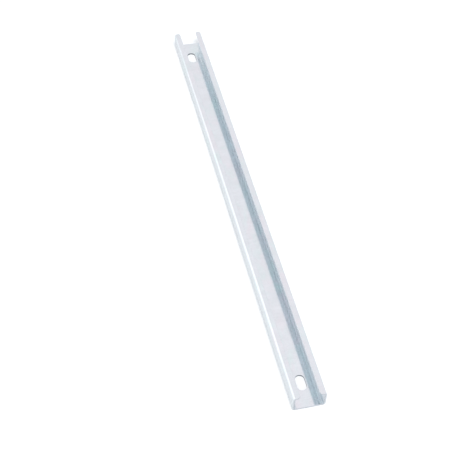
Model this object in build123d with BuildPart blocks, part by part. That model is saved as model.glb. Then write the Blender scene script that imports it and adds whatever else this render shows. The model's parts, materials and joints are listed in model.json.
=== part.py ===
from build123d import *
import os

# Driving dimensions of the rail, in millimetres
rail_length = 500.0
rail_width = 30.0
rail_height = 18.0
sheet = 2.0
lip_width = 6.0
bend_inner_radius = 1.0
lip_corner_radius = 2.5
edge_round = 0.25
slot_width = 8.5
slot_length = 16.0
slot_end_distance = 25.0

# Sizes that follow from them
bend_outer_radius = bend_inner_radius + sheet
half_width = rail_width / 2
half_mouth = half_width - lip_width
inner_half_width = half_width - sheet
inner_height = rail_height - sheet
slot_spacing = rail_length - 2 * slot_end_distance

os.makedirs("parts", exist_ok=True)


def sharp_edges(part):
    """The edges where two faces meet at an angle, which are the sheared ones."""
    faces = part.faces()

    def is_sharp(edge):
        middle = edge @ 0.5
        beside = [face.normal_at(middle) for face in faces if edge in face.edges()]
        return beside[0].get_angle(beside[1]) > 1

    return part.edges().filter_by(is_sharp)


# One strip of sheet, rolled into a channel whose two lips turn in towards each other.
# It lies on the back of its web: x runs across, y along the rail, z up from the back.
with BuildPart() as c_rail:
    with BuildSketch(Plane.XZ):
        with BuildLine():
            # Inside of the right half, from the middle of the web round to the lip's edge
            inside = FilletPolyline(
                (0, sheet),
                (inner_half_width, sheet),
                (inner_half_width, inner_height),
                (half_mouth, inner_height),
                radius=bend_inner_radius,
            )
            # Outside of it, one sheet thickness further out all the way
            outside = FilletPolyline(
                (0, 0),
                (half_width, 0),
                (half_width, rail_height),
                (half_mouth, rail_height),
                radius=bend_outer_radius,
            )
            Line(inside @ 0, outside @ 0)
            Line(inside @ 1, outside @ 1)
        make_face()
        mirror(about=Plane.YZ)
    extrude(amount=rail_length / 2, both=True)

    # The free corners of the lips are rounded off at both ends
    lip_corners = c_rail.edges().filter_by(Axis.Z).group_by(Axis.Z)[-1]
    fillet(lip_corners, radius=lip_corner_radius)

    # One lengthwise slot near each end, through the middle of the web
    with BuildSketch(Plane.XY):
        with Locations((0, -slot_spacing / 2), (0, slot_spacing / 2)):
            SlotOverall(slot_length, slot_width, rotation=90)
    extrude(amount=sheet, mode=Mode.SUBTRACT)

    # What is still sharp is broken all round: the cut ends, the lips and the slots' rims
    fillet(sharp_edges(c_rail), radius=edge_round)

c_rail.part.label = "c_rail"
export_step(c_rail.part, "parts/c_rail.step")
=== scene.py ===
import json
import math

import bpy
import numpy as np
from mathutils import Matrix, Vector

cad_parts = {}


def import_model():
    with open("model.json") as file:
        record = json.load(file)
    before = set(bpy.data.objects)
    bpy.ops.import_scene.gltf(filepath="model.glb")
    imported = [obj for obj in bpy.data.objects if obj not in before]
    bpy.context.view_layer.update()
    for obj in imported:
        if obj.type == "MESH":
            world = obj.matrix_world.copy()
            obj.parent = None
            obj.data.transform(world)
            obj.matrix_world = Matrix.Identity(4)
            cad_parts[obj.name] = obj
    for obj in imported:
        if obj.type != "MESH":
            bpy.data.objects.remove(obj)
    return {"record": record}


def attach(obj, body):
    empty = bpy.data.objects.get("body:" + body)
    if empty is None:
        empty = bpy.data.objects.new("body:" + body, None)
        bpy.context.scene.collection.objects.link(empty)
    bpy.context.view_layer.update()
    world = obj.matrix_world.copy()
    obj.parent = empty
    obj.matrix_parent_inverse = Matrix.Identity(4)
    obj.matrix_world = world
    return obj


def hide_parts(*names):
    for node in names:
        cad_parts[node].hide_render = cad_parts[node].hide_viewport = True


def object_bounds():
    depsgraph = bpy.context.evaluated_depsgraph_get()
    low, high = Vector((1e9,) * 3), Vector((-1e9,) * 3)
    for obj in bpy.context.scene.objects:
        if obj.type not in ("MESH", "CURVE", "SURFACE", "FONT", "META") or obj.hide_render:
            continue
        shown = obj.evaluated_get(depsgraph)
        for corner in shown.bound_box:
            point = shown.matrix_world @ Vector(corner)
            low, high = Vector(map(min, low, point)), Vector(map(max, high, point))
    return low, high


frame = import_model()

cad_low, cad_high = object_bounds()

# The strip's sizes, in metres. The rail's box and its slots come from the frame
MM = 0.001
SLOTS = next(m for m in frame["record"]["mounts"] if m["name"] == "slots")["dims"]
LENGTH = cad_high.y - cad_low.y
WIDTH = cad_high.x - cad_low.x
HEIGHT = cad_high.z - cad_low.z
SHEET = 2.0 * MM
LIP = 6.0 * MM
BEND_INNER = 1.0 * MM
LIP_CORNER = 2.5 * MM
EDGE_ROUND = 0.25 * MM
SLOT_RADIUS = SLOTS["hole_r_mm"] * MM
SLOT_HALF_STRAIGHT = SLOTS["slot_length_mm"] * MM / 2 - SLOT_RADIUS
SLOT_OFFSET = SLOTS["spacing_y_mm"] * MM / 2

# The half section, developed: web, bend, flange, bend, lip
BEND_OUTER = BEND_INNER + SHEET
BEND_MIDDLE = BEND_INNER + SHEET / 2
ARC = BEND_MIDDLE * math.pi / 2
WEB = WIDTH / 2 - BEND_OUTER
FLANGE = HEIGHT - 2 * BEND_OUTER
LIP_FLAT = LIP - BEND_OUTER
HALF_STRIP = WEB + ARC + FLANGE + ARC + LIP_FLAT

# How finely the strip is divided
WEB_STEPS = 4
BEND_STEPS = 14
FLANGE_STEPS = 6
CORNER_STEPS = 8
ROUND_STEPS = 4
ROW_STEP = 4.0 * MM

# The finer block of mesh round each slot: half its width and length, its steps across and
# along, and the rings of points between the slot and its edge, which spread towards the edge
SLOT_BLOCK = (6.0 * MM, 10.0 * MM)
SLOT_BLOCK_STEPS = (12, 24)
SLOT_RINGS = 3
SLOT_RING_GROWTH = 1.5

# How far the rougher plating and the painted shade reach beyond the bends between web and flanges
CORNER_FADE = 0.8 * MM

# The strip's finishes, by number. The punched finish is partly painted shade, the slit one a painted
# highlight
SKIN, CUT, PUNCHED, SLIT = 0, 1, 2, 3


def strip_to_space(s, y, depth):
    """Fold points of the flat strip into the section. s runs across from the middle of the web,
    y along, depth is the height over the middle of the sheet, towards the outside."""
    side = np.where(s < 0, -1.0, 1.0)
    run = np.abs(s)
    turn = np.full(len(s), -math.pi / 2)
    x = np.minimum(run, WEB)
    z = np.full(len(s), SHEET / 2)
    first = np.clip((run - WEB) / BEND_MIDDLE, 0, math.pi / 2)
    x = x + BEND_MIDDLE * np.sin(first)
    z = z + BEND_MIDDLE * (1 - np.cos(first))
    z = z + np.clip(run - WEB - ARC, 0, FLANGE)
    second = np.clip((run - WEB - ARC - FLANGE) / BEND_MIDDLE, 0, math.pi / 2)
    x = x - BEND_MIDDLE * (1 - np.cos(second))
    z = z + BEND_MIDDLE * np.sin(second)
    x = x - np.maximum(run - WEB - 2 * ARC - FLANGE, 0)
    turn = turn + first + second
    out = np.stack([side * np.cos(turn), 0 * s, np.sin(turn)], axis=1)
    across = np.stack([-side * np.sin(turn), 0 * s, np.cos(turn)], axis=1) * side[:, None]
    place = np.stack([side * x, y, z], axis=1) + depth[:, None] * out
    return place, out, across


def steps(start, end, count):
    """count equal steps from start to end, without the end itself."""
    return [start + (end - start) * k / count for k in range(count)]


def other_side(half):
    """The same lines on the other side of the middle, without the one nearest to it."""
    return [-v for v in reversed(half)][:-1]


def across_lines():
    """Places across the strip where the mesh has a line, from one lip's edge to the other's."""
    corner = HALF_STRIP - LIP_CORNER
    half = steps(SLOT_BLOCK[0], WEB, WEB_STEPS)
    half += steps(WEB, WEB + ARC, BEND_STEPS)
    half += steps(WEB + ARC, WEB + ARC + FLANGE, FLANGE_STEPS)
    half += steps(WEB + ARC + FLANGE, WEB + 2 * ARC + FLANGE, BEND_STEPS)
    half += [WEB + 2 * ARC + FLANGE]
    half += steps(corner, HALF_STRIP - EDGE_ROUND, CORNER_STEPS) + [HALF_STRIP - EDGE_ROUND]
    middle = steps(-SLOT_BLOCK[0], SLOT_BLOCK[0], SLOT_BLOCK_STEPS[0])
    return np.array(other_side(half) + middle + half)


def along_lines():
    """Places along the strip where the mesh has a line, from the front end to the rear end."""
    end = LENGTH / 2 - EDGE_ROUND
    corner = LENGTH / 2 - LIP_CORNER
    near = SLOT_OFFSET - SLOT_BLOCK[1]
    far = SLOT_OFFSET + SLOT_BLOCK[1]
    half = steps(0, near, math.ceil(near / ROW_STEP))
    half += steps(near, far, SLOT_BLOCK_STEPS[1])
    half += steps(far, corner, math.ceil((corner - far) / ROW_STEP))
    half += steps(corner, end, CORNER_STEPS) + [end]
    return np.array(other_side(half) + half)


def round_corner(points, outward):
    """Bend the square corners of the lips' grid into arcs, and turn the outward arrows with them."""
    reach = LIP_CORNER - EDGE_ROUND
    centre = np.array([HALF_STRIP - LIP_CORNER, LENGTH / 2 - LIP_CORNER])
    share = (np.abs(points) - centre) / reach
    inside = (share > 0).all(axis=1)
    a, b = share[inside, 0], share[inside, 1]
    bent = np.stack([a * np.sqrt(1 - b * b / 2), b * np.sqrt(1 - a * a / 2)], axis=1)
    sign = np.sign(points[inside])
    points[inside] = sign * (centre + reach * bent)
    outward[inside] = sign * bent / np.linalg.norm(bent, axis=1)[:, None]


def inside_corner(run):
    """1 in the bend between web and flange, falling to 0 a little way beyond it."""
    beyond = np.abs(run - WEB - ARC / 2) - ARC / 2
    return np.clip(1 - beyond / CORNER_FADE, 0, 1)


class Strip:
    """The mesh of the folded strip: both skins, and the rounded rims that join them."""

    def __init__(self):
        self.place, self.normal, self.depth, self.recess = [], [], [], []
        self.faces, self.finish = [], []
        self.count = 0

    def add_points(self, flat, depth, outward, lean):
        """Points at flat places. lean 1 faces out of the skin, 0 along the outward arrow."""
        place, out, across = strip_to_space(flat[:, 0], flat[:, 1], depth)
        arrow = outward[:, :1] * across + outward[:, 1:] * np.array([[0.0, 1.0, 0.0]])
        level = np.sqrt(np.maximum(1 - lean * lean, 0))
        self.place.append(place)
        self.normal.append(lean[:, None] * out + level[:, None] * arrow)
        self.depth.append(depth)
        # The inner bends between web and flanges: rougher plating and painted shade there
        self.recess.append(np.where(depth < 0, inside_corner(np.abs(flat[:, 0])), 0.0))
        first = self.count
        self.count += len(flat)
        return first + np.arange(len(flat))

    def add_faces(self, low, high, finish=SKIN):
        """Faces between two rows of point numbers."""
        faces = np.stack([low[:-1], low[1:], high[1:], high[:-1]], axis=1)
        self.faces.append(faces)
        self.finish.append(np.full(len(faces), finish))

    def add_loops(self, loops, middle=None, finish=SKIN):
        """Faces between closed rows, one after the other. Those after row number middle have a
        finish of their own."""
        for k, (low, high) in enumerate(zip(loops, loops[1:])):
            chosen = finish if k == middle else SKIN
            self.add_faces(np.append(low, low[0]), np.append(high, high[0]), chosen)

    def add_rim(self, flat, outward, outer, inner, finish):
        """Join the skins round a closed edge: a rounding, the sheet's edge and a rounding."""
        ones = np.ones(len(flat))
        turns = [math.pi / 2 * k / ROUND_STEPS for k in range(ROUND_STEPS)]
        loops = [outer]
        for half, turn in [(1, t) for t in reversed(turns)] + [(-1, t) for t in turns]:
            at = flat + EDGE_ROUND * math.cos(turn) * outward
            depth = half * (SHEET / 2 - EDGE_ROUND + EDGE_ROUND * math.sin(turn))
            loops.append(self.add_points(at, depth * ones, outward, half * math.sin(turn) * ones))
        self.add_loops(loops + [inner], ROUND_STEPS, finish)

    def joined(self):
        """Places, normals, faces turned to agree with the normals, and the faces' finish."""
        place, normal = np.concatenate(self.place), np.concatenate(self.normal)
        faces = np.concatenate(self.faces)
        a, b, c, d = (place[faces[:, k]] for k in range(4))
        facing = np.einsum("ij,ij->i", np.cross(c - a, d - b), normal[faces].sum(axis=1))
        faces[facing < 0] = faces[facing < 0, ::-1]
        return place, normal, faces, np.concatenate(self.finish)


def nearest(lines, value):
    """The number of the line that is nearest to a value."""
    return int(np.argmin(np.abs(lines - value)))


def around(number, low, high, first, last):
    """The numbers of the grid's points once round a block of rows and columns."""
    return np.concatenate([
        number[low, first:last],
        number[low:high, last],
        number[high, last:first:-1],
        number[high:low:-1, first],
    ])


def strip_grid(s_lines, y_lines):
    """The grid of the flat strip with its corners rounded: its points' places, the arrows that
    point outward at its edges, and the points' numbers by row and column."""
    grid_s, grid_y = np.meshgrid(s_lines, y_lines)
    flat = np.stack([grid_s.ravel(), grid_y.ravel()], axis=1)
    number = np.arange(len(flat)).reshape(grid_s.shape)
    outward = np.zeros_like(flat)
    outward[number[0], 1], outward[number[-1], 1] = -1, 1
    outward[number[1:-1, 0], 0], outward[number[1:-1, -1], 0] = -1, 1
    round_corner(flat, outward)
    return flat, outward, number


def slot_blocks(s_lines, y_lines):
    """The first and last row and column of each slot's block in the grid."""
    half_width, half_length = SLOT_BLOCK
    first, last = nearest(s_lines, -half_width), nearest(s_lines, half_width)
    blocks = []
    for middle in (-SLOT_OFFSET, SLOT_OFFSET):
        low, high = nearest(y_lines, middle - half_length), nearest(y_lines, middle + half_length)
        blocks.append((low, high, first, last))
    return blocks


def add_skins(strip, flat, outward, number, blocks):
    """Both skins without the slots' blocks, and the numbers of their points."""
    left_out = np.zeros(number.shape, bool)
    for low, high, first, last in blocks:
        left_out[low + 1:high, first + 1:last] = True
    kept = np.flatnonzero(~left_out.ravel())
    full = np.ones(len(kept))
    skins = []
    for half in (1, -1):
        lookup = np.full(number.size, -1)
        lookup[kept] = strip.add_points(flat[kept], half * SHEET / 2 * full, outward[kept], half * full)
        skins.append(lookup[number])
    for skin in skins:
        for row in range(len(skin) - 1):
            crossed = [block for block in blocks if block[0] <= row < block[1]]
            if crossed:
                first, last = crossed[0][2:]
                strip.add_faces(skin[row, :first + 1], skin[row + 1, :first + 1])
                strip.add_faces(skin[row, last:], skin[row + 1, last:])
            else:
                strip.add_faces(skin[row], skin[row + 1])
    return skins


def add_outer_rim(strip, flat, outward, number, skins):
    """The rim of the whole strip: its ends are cut to length, its long edges are slit."""
    rows, columns = number.shape
    edge = around(number, 0, rows - 1, 0, columns - 1)
    outer, inner = (skin.ravel()[edge] for skin in skins)
    faces_along = np.abs(outward[edge, 1]) > 0.5
    # The slit finish gives the long edges a painted highlight
    strip.add_rim(flat[edge], outward[edge], outer, inner, np.where(faces_along, CUT, SLIT))


def slot_rings(block):
    """Rings of flat points from a slot's edge out to the square block round it."""
    middle = block.mean(axis=0)
    away = block - middle
    foot = np.stack([0 * away[:, 0], np.clip(away[:, 1], -SLOT_HALF_STRAIGHT, SLOT_HALF_STRAIGHT)], 1)
    arrow = away - foot
    arrow /= np.linalg.norm(arrow, axis=1)[:, None]
    rim = middle + foot + (SLOT_RADIUS + EDGE_ROUND) * arrow
    shares = [(k / (SLOT_RINGS + 1)) ** SLOT_RING_GROWTH for k in range(SLOT_RINGS + 1)]
    return [rim + share * (block - rim) for share in shares], -arrow


def add_slot(strip, flat, skins, edge):
    """One slot inside its block's edge: the rings of both skins, and the punched rim."""
    rings, arrow = slot_rings(flat[edge])
    rims = []
    for half, skin in zip((1, -1), skins):
        ones = half * np.ones(len(edge))
        loops = [strip.add_points(ring, SHEET / 2 * ones, arrow, ones) for ring in rings]
        strip.add_loops(loops + [skin.ravel()[edge]])
        rims.append(loops[0])
    # The punched finish darkens the slots' walls, partly as painted shade in the slots
    strip.add_rim(rings[0], arrow, rims[0], rims[1], PUNCHED)


def build_strip():
    """One closed mesh of the whole rail."""
    strip = Strip()
    s_lines, y_lines = across_lines(), along_lines()
    flat, outward, number = strip_grid(s_lines, y_lines)
    blocks = slot_blocks(s_lines, y_lines)
    skins = add_skins(strip, flat, outward, number, blocks)
    add_outer_rim(strip, flat, outward, number, skins)
    for block in blocks:
        add_slot(strip, flat, skins, around(number, *block))
    return strip


def mesh_from(strip, name):
    """A mesh object with exact normals, and what its materials need to know at each point."""
    place, normal, faces, finish = strip.joined()
    mesh = bpy.data.meshes.new(name)
    mesh.from_pydata(place.tolist(), [], faces.tolist())
    mesh.polygons.foreach_set("use_smooth", np.ones(len(faces), bool))
    mesh.polygons.foreach_set("material_index", finish)
    mesh.normals_split_custom_set_from_vertices(normal.tolist())
    for label, values in (("sheet_depth", strip.depth), ("recess", strip.recess)):
        mesh.attributes.new(label, "FLOAT", "POINT").data.foreach_set("value", np.concatenate(values))
    mesh.update()
    piece = bpy.data.objects.new(name, mesh)
    bpy.context.scene.collection.objects.link(piece)
    return piece


# Materials

# The mix node's sockets for colours, which come after those for numbers and vectors
MIX_SHARE, MIX_FIRST, MIX_SECOND, MIX_RESULT = 0, 6, 7, 2


class Nodes:
    """Short calls for building the node tree of a material or a world."""

    def __init__(self, owner):
        owner.use_nodes = True
        self.owner = owner
        self.tree = owner.node_tree
        self.tree.nodes.clear()

    def add(self, kind, **values):
        node = self.tree.nodes.new(kind)
        for key, value in values.items():
            setattr(node, key, value)
        return node

    def link(self, source, target):
        self.tree.links.new(source, target)

    def socket(self, target, value):
        """Link another node's socket to this one, or set it to a plain value."""
        if isinstance(value, bpy.types.NodeSocket):
            self.link(value, target)
        else:
            target.default_value = value

    def place(self):
        """The place on the object, in metres in its own frame."""
        return self.add("ShaderNodeTexCoord").outputs["Object"]

    def axis(self, place, name):
        node = self.add("ShaderNodeSeparateXYZ")
        self.link(place, node.inputs[0])
        return node.outputs[name]

    def attribute(self, name):
        return self.add("ShaderNodeAttribute", attribute_name=name).outputs["Fac"]

    def noise(self, place, scale, detail=2.0, roughness=0.5, distortion=0.0, stretch=None):
        if stretch:
            mapping = self.add("ShaderNodeMapping")
            self.link(place, mapping.inputs["Vector"])
            mapping.inputs["Scale"].default_value = stretch
            place = mapping.outputs["Vector"]
        node = self.add("ShaderNodeTexNoise")
        self.link(place, node.inputs["Vector"])
        node.inputs["Scale"].default_value = scale
        node.inputs["Detail"].default_value = detail
        node.inputs["Roughness"].default_value = roughness
        node.inputs["Distortion"].default_value = distortion
        return node.outputs["Fac"]

    def ramp(self, value, low, high, to_low=0.0, to_high=1.0):
        node = self.add("ShaderNodeMapRange")
        self.link(value, node.inputs["Value"])
        node.inputs["From Min"].default_value = low
        node.inputs["From Max"].default_value = high
        node.inputs["To Min"].default_value = to_low
        node.inputs["To Max"].default_value = to_high
        return node.outputs["Result"]

    def mix(self, share, first, second):
        node = self.add("ShaderNodeMix", data_type="RGBA")
        self.socket(node.inputs[MIX_SHARE], share)
        self.socket(node.inputs[MIX_FIRST], first)
        self.socket(node.inputs[MIX_SECOND], second)
        return node.outputs[MIX_RESULT]

    def scaled(self, colour, factor):
        node = self.add("ShaderNodeVectorMath", operation="SCALE")
        self.link(colour, node.inputs[0])
        self.link(factor, node.inputs["Scale"])
        return node.outputs[0]

    def math(self, kind, first, second):
        node = self.add("ShaderNodeMath", operation=kind)
        self.socket(node.inputs[0], first)
        self.socket(node.inputs[1], second)
        return node.outputs[0]


# Colours of the plating, and of the sheared edges under it
ZINC = (0.864, 0.907, 0.926, 1.0)
ZINC_CYAN = (0.828, 0.916, 0.916, 1.0)
ZINC_PINK = (0.886, 0.885, 0.912, 1.0)
# Painted shade: the darker colour of the inner bends between web and flanges, which are also rougher
ZINC_CORNER_SHADE = (0.75, 0.83, 0.87, 1.0)
SHORN = (0.80, 0.83, 0.86, 1.0)
TORN_LIGHT = (0.54, 0.56, 0.60, 1.0)
TORN_DARK = (0.33, 0.35, 0.39, 1.0)
# The slots' walls: a real torn band, darkened further as painted shade in the slots
PUNCHED_TORN_SHADE_LIGHT = (0.40, 0.42, 0.46, 1.0)
PUNCHED_TORN_SHADE_DARK = (0.25, 0.27, 0.30, 1.0)
# Painted highlight: the near-white colour of the lips' long slit edges
SLIT_HIGHLIGHT_BRIGHT = (0.97, 0.98, 0.99, 1.0)
SLIT_HIGHLIGHT_DIM = (0.94, 0.96, 0.97, 1.0)

# The patterns in the metal: clouds of colour, blotches, fine grain, the rolls' chatter marks
# across the strip, its slow swell, and the wandering line and the chips of a torn edge
CLOUD = {"detail": 4.0, "roughness": 0.6, "distortion": 0.6}
CYAN_CLOUD = {"scale": 34.0, "stretch": (1.3, 1.0, 1.3), **CLOUD}
PINK_CLOUD = {"scale": 28.0, "stretch": (1.3, 0.8, 1.6), **CLOUD}
BLOTCHES = {"scale": 95.0}
GRAIN = {"scale": 1100.0, "detail": 4.0, "roughness": 0.7}
CHATTER = {"scale": 900.0, "stretch": (0.10, 1.0, 0.3), "detail": 3.0, "roughness": 0.6}
SWELL = {"scale": 45.0, "stretch": (1.0, 0.35, 1.0), "detail": 1.0}
TEAR = {"scale": 700.0}
CHIPS = {"scale": 2600.0, "detail": 4.0, "roughness": 0.7}

# What the patterns do, as ramps: the pattern's values between which each one runs, and then
# what it gives there, which is 0 and 1 where it isn't said
CYAN_SHARE = (0.48, 0.66)
PINK_SHARE = (0.50, 0.68)
BLOTCH_SHADE = (0.3, 0.7, 0.975, 1.02)
GRAIN_SHADE = (0.25, 0.75, 0.955, 1.045)
CHATTER_SHADE = (0.25, 0.75, 0.98, 1.02)
DULL_AND_SHADE_SHARE = (0.2, 0.8, 0.8, 1.0)
SKIN_ROUGHNESS = (0.5, 1.0, 0.13, 0.16)
TEAR_REACH = (0.0, 1.0, -0.15, 0.15)
CHIP_SHARE = (0.3, 0.7)
SHEARED_ROUGHNESS = (0.0, 1.0, 0.35, 0.6)
SLIT_ROUGHNESS = (0.0, 1.0, 0.12, 0.2)

# Painted light along the rail: the colour is scaled lighter at its front end and darker at its rear one
LENGTHWISE_PAINTED_LIGHT = (-LENGTH / 2, LENGTH / 2, 1.02, 0.985)

# How much rougher the dull plating is, and the grain's part in roughness and relief
DULL_ROUGHNESS = 0.30
GRAIN_ROUGHNESS = 0.5
GRAIN_RELIEF = 0.05

# The share of the sheet's thickness that is torn, and how softly the torn band begins
CUT_TORN = 0.25
# On the slots' walls the dark torn band is widened, partly as painted shade in the slots
PUNCHED_TORN = 0.8
TORN_FADE = 0.05

# The strength and the depth of the relief
SKIN_RELIEF = (0.3, 0.04 * MM)
SHEARED_RELIEF = (0.5, 0.2 * MM)
SLIT_RELIEF = (0.3, 0.02 * MM)


def metal_surface(n, colour, rough, relief, strength, distance):
    """The shader of bare metal, from its colour, roughness and relief."""
    bump = n.add("ShaderNodeBump")
    n.link(relief, bump.inputs["Height"])
    bump.inputs["Strength"].default_value = strength
    bump.inputs["Distance"].default_value = distance
    surface = n.add("ShaderNodeBsdfPrincipled")
    n.link(colour, surface.inputs["Base Color"])
    n.link(rough, surface.inputs["Roughness"])
    n.link(bump.outputs["Normal"], surface.inputs["Normal"])
    surface.inputs["Metallic"].default_value = 1.0
    output = n.add("ShaderNodeOutputMaterial")
    n.link(surface.outputs["BSDF"], output.inputs["Surface"])
    return n.owner


def zinc_material():
    """Blue-passivated zinc on rolled sheet: satin metal with faint cyan and pink clouds, rougher
    plating with painted shade inside the bends between web and flanges, and painted light that is
    lighter at the front end of the rail and darker at the rear."""
    n = Nodes(bpy.data.materials.new("zinc_skin"))
    place = n.place()
    cyan = n.noise(place, **CYAN_CLOUD)
    pink = n.noise(place, **PINK_CLOUD)
    grain = n.noise(place, **GRAIN)
    colour = n.mix(n.ramp(cyan, *CYAN_SHARE), ZINC, ZINC_CYAN)
    colour = n.mix(n.ramp(pink, *PINK_SHARE), colour, ZINC_PINK)

    shade = n.ramp(n.noise(place, **BLOTCHES), *BLOTCH_SHADE)
    shade = n.math("MULTIPLY", shade, n.ramp(grain, *GRAIN_SHADE))
    shade = n.math("MULTIPLY", shade, n.ramp(n.noise(place, **CHATTER), *CHATTER_SHADE))
    # Painted light: lighter at the front end of the rail, darker at the rear
    shade = n.math("MULTIPLY", shade, n.ramp(n.axis(place, "Y"), *LENGTHWISE_PAINTED_LIGHT))
    colour = n.scaled(colour, shade)

    # Painted shade in the inner bends between web and flanges, which are also made rougher
    dull_and_shade = n.math("MULTIPLY", n.attribute("recess"), n.ramp(grain, *DULL_AND_SHADE_SHARE))
    colour = n.mix(dull_and_shade, colour, ZINC_CORNER_SHADE)
    rough = n.math("ADD", cyan, n.math("MULTIPLY", grain, GRAIN_ROUGHNESS))
    rough = n.math("ADD", n.ramp(rough, *SKIN_ROUGHNESS), n.math("MULTIPLY", dull_and_shade, DULL_ROUGHNESS))
    relief = n.math("ADD", n.noise(place, **SWELL), n.math("MULTIPLY", grain, GRAIN_RELIEF))
    return metal_surface(n, colour, rough, relief, *SKIN_RELIEF)


def sheared_material(name, torn_share, light, dark):
    """An edge of the sheet: a bright shorn band, then a darker torn one, plated over. With the punched
    colours the torn band is partly painted shade.
    """
    n = Nodes(bpy.data.materials.new(name))
    place = n.place()
    share = n.ramp(n.attribute("sheet_depth"), -SHEET / 2, SHEET / 2)
    wander = n.ramp(n.noise(place, **TEAR), *TEAR_REACH)
    torn = n.ramp(n.math("ADD", share, wander), torn_share + TORN_FADE, torn_share - TORN_FADE)
    chips = n.noise(place, **CHIPS)
    colour = n.mix(torn, SHORN, n.mix(n.ramp(chips, *CHIP_SHARE), dark, light))
    rough = n.ramp(torn, *SHEARED_ROUGHNESS)
    return metal_surface(n, colour, rough, n.math("MULTIPLY", chips, torn), *SHEARED_RELIEF)


def slit_highlight_material():
    """The lips' long edges, slit smooth before rolling, with a near-white colour that is a painted
    highlight along them.
    """
    n = Nodes(bpy.data.materials.new("zinc_slit_highlight"))
    grain = n.noise(n.place(), **GRAIN)
    colour = n.mix(n.ramp(grain, *CHIP_SHARE), SLIT_HIGHLIGHT_DIM, SLIT_HIGHLIGHT_BRIGHT)
    return metal_surface(n, colour, n.ramp(grain, *SLIT_ROUGHNESS), grain, *SLIT_RELIEF)


def rail():
    """The rail itself, in place of the plainer solid. Its materials follow the finishes' numbers."""
    piece = mesh_from(build_strip(), "zinc_rail")
    piece.data.materials.append(zinc_material())
    piece.data.materials.append(sheared_material("zinc_cut", CUT_TORN, TORN_LIGHT, TORN_DARK))
    # The slots' walls get the punched colours, which are partly painted shade
    piece.data.materials.append(
        sheared_material("zinc_punched_torn_and_shade", PUNCHED_TORN, PUNCHED_TORN_SHADE_LIGHT, PUNCHED_TORN_SHADE_DARK))
    # The lips' long edges, with a painted highlight
    piece.data.materials.append(slit_highlight_material())
    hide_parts("c_rail")
    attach(piece, "root")


# Studio

# The room's light, what gloss sees of it, and what the camera sees
ROOM_DIFFUSE = (0.44, 0.49, 0.55, 1.0)
ROOM_MIRRORED = (0.885, 0.864, 0.903, 1.0)
WHITE = (1.0, 1.0, 1.0, 1.0)

# The floor: its half side and its drop below the rail in metres, its paint, and how far the
# camera and gloss see it brighter than the lamps make it. What gloss sees rises to the left,
# between the two places across that FLOOR_RISE gives in metres
FLOOR_HALF = 4.0
FLOOR_GAP = 0.05 * MM
FLOOR_PAINT = 0.62
FLOOR_SEEN = 0.50
FLOOR_MIRRORED = 0.25
FLOOR_MIRRORED_LEFT = 0.45
FLOOR_RISE = (-0.02, -0.07)

# Light passes to and fro between the web and the lips before it comes out
GLOSSY_BOUNCES = 12


def ray_kinds(n):
    """1 for rays straight from the camera or through glass, and 1 for rays off gloss."""
    path = n.add("ShaderNodeLightPath")
    seen = n.math("MAXIMUM", path.outputs["Is Camera Ray"], path.outputs["Is Transmission Ray"])
    return seen, path.outputs["Is Glossy Ray"]


def floor_material():
    """White paint, with the background's whiteness for the camera and for gloss."""
    n = Nodes(bpy.data.materials.new("floor_white"))
    seen, mirrored = ray_kinds(n)
    paint = n.add("ShaderNodeBsdfDiffuse")
    paint.inputs["Color"].default_value = (FLOOR_PAINT, FLOOR_PAINT, FLOOR_PAINT, 1.0)
    glow = n.add("ShaderNodeEmission")
    shine = n.ramp(n.axis(n.place(), "X"), *FLOOR_RISE, FLOOR_MIRRORED, FLOOR_MIRRORED_LEFT)
    level = n.math("ADD", n.math("MULTIPLY", seen, FLOOR_SEEN), n.math("MULTIPLY", mirrored, shine))
    n.link(level, glow.inputs["Strength"])
    both = n.add("ShaderNodeAddShader")
    n.link(paint.outputs[0], both.inputs[0])
    n.link(glow.outputs[0], both.inputs[1])
    output = n.add("ShaderNodeOutputMaterial")
    n.link(both.outputs[0], output.inputs["Surface"])
    return n.owner


def floor():
    """A plain white floor that keeps the rail's shadow."""
    mesh = bpy.data.meshes.new("floor")
    signs = [(-1, -1), (1, -1), (1, 1), (-1, 1)]
    mesh.from_pydata([(a * FLOOR_HALF, b * FLOOR_HALF, 0) for a, b in signs], [], [(0, 1, 2, 3)])
    mesh.materials.append(floor_material())
    plane = bpy.data.objects.new("floor", mesh)
    plane.location.z = cad_low.z - FLOOR_GAP
    bpy.context.scene.collection.objects.link(plane)


def world():
    """An even, faintly cool room. The camera sees it white."""
    n = Nodes(bpy.data.worlds.new("studio"))
    bpy.context.scene.world = n.owner
    seen, mirrored = ray_kinds(n)
    background = n.add("ShaderNodeBackground")
    room = n.mix(mirrored, ROOM_DIFFUSE, ROOM_MIRRORED)
    n.link(n.mix(seen, room, WHITE), background.inputs["Color"])
    output = n.add("ShaderNodeOutputWorld")
    n.link(background.outputs[0], output.inputs["Surface"])


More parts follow.
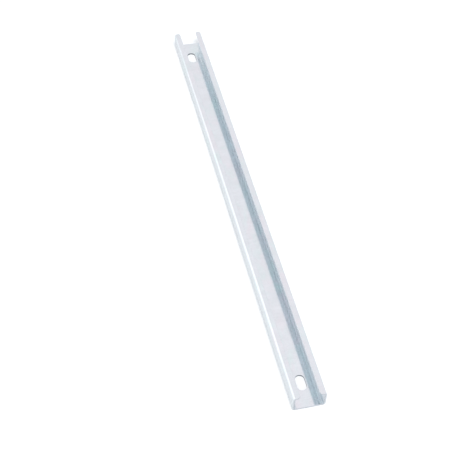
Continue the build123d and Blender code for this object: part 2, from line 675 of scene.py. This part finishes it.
def direction(azimuth, elevation):
    """The way from the rail to a lamp. Azimuth 0 is behind the rail, 90 on its right."""
    a, e = math.radians(azimuth), math.radians(elevation)
    return Vector((math.sin(a) * math.cos(e), math.cos(a) * math.cos(e), math.sin(e)))


def lamp_object(name, lamp, toward):
    """The lamp's object, turned to shine from there on the rail."""
    lit = bpy.data.objects.new(name, lamp)
    lit.rotation_mode = "QUATERNION"
    lit.rotation_quaternion = toward.to_track_quat("Z", "Y")
    bpy.context.scene.collection.objects.link(lit)
    return lit


def softbox(name, azimuth, elevation, distance, size, radiance):
    """An area lamp that faces the rail."""
    toward = direction(azimuth, elevation)
    lamp = bpy.data.lights.new(name, "AREA")
    lamp.shape = "RECTANGLE"
    lamp.size, lamp.size_y = size
    lamp.energy = radiance * math.pi * size[0] * size[1]
    lamp_object(name, lamp, toward).location = toward * distance


def sun(name, azimuth, elevation, width, strength):
    """A distant lamp that lights rail and floor evenly and stays out of the reflections."""
    lamp = bpy.data.lights.new(name, "SUN")
    lamp.energy = strength
    lamp.angle = math.radians(width)
    lamp_object(name, lamp, direction(azimuth, elevation)).visible_glossy = False


def camera():
    """The photo's view: from the front left, looking down at the open side."""
    place = Vector((-213.86, -732.32, 804.92)) * MM
    target = Vector((-21.12, -31.39, 0.0)) * MM
    roll = math.radians(2.752)
    data = bpy.data.cameras.new("camera")
    data.lens = 87.92
    data.sensor_width = 36.0
    data.clip_start = 0.01
    data.clip_end = 50.0
    shot = bpy.data.objects.new("camera", data)
    look = (place - target).to_track_quat("Z", "Y").to_matrix().to_4x4()
    shot.matrix_world = Matrix.Translation(place) @ look @ Matrix.Rotation(roll, 4, "Z")
    bpy.context.scene.collection.objects.link(shot)
    bpy.context.scene.camera = shot


rail()
floor()
world()
softbox("softbox_left", azimuth=-56, elevation=23, distance=2.0, size=(1.45, 1.7), radiance=0.28)
sun("key_front", azimuth=180, elevation=62, width=20, strength=1.65)
camera()
bpy.context.scene.view_settings.view_transform = "Standard"
bpy.context.scene.cycles.glossy_bounces = GLOSSY_BOUNCES
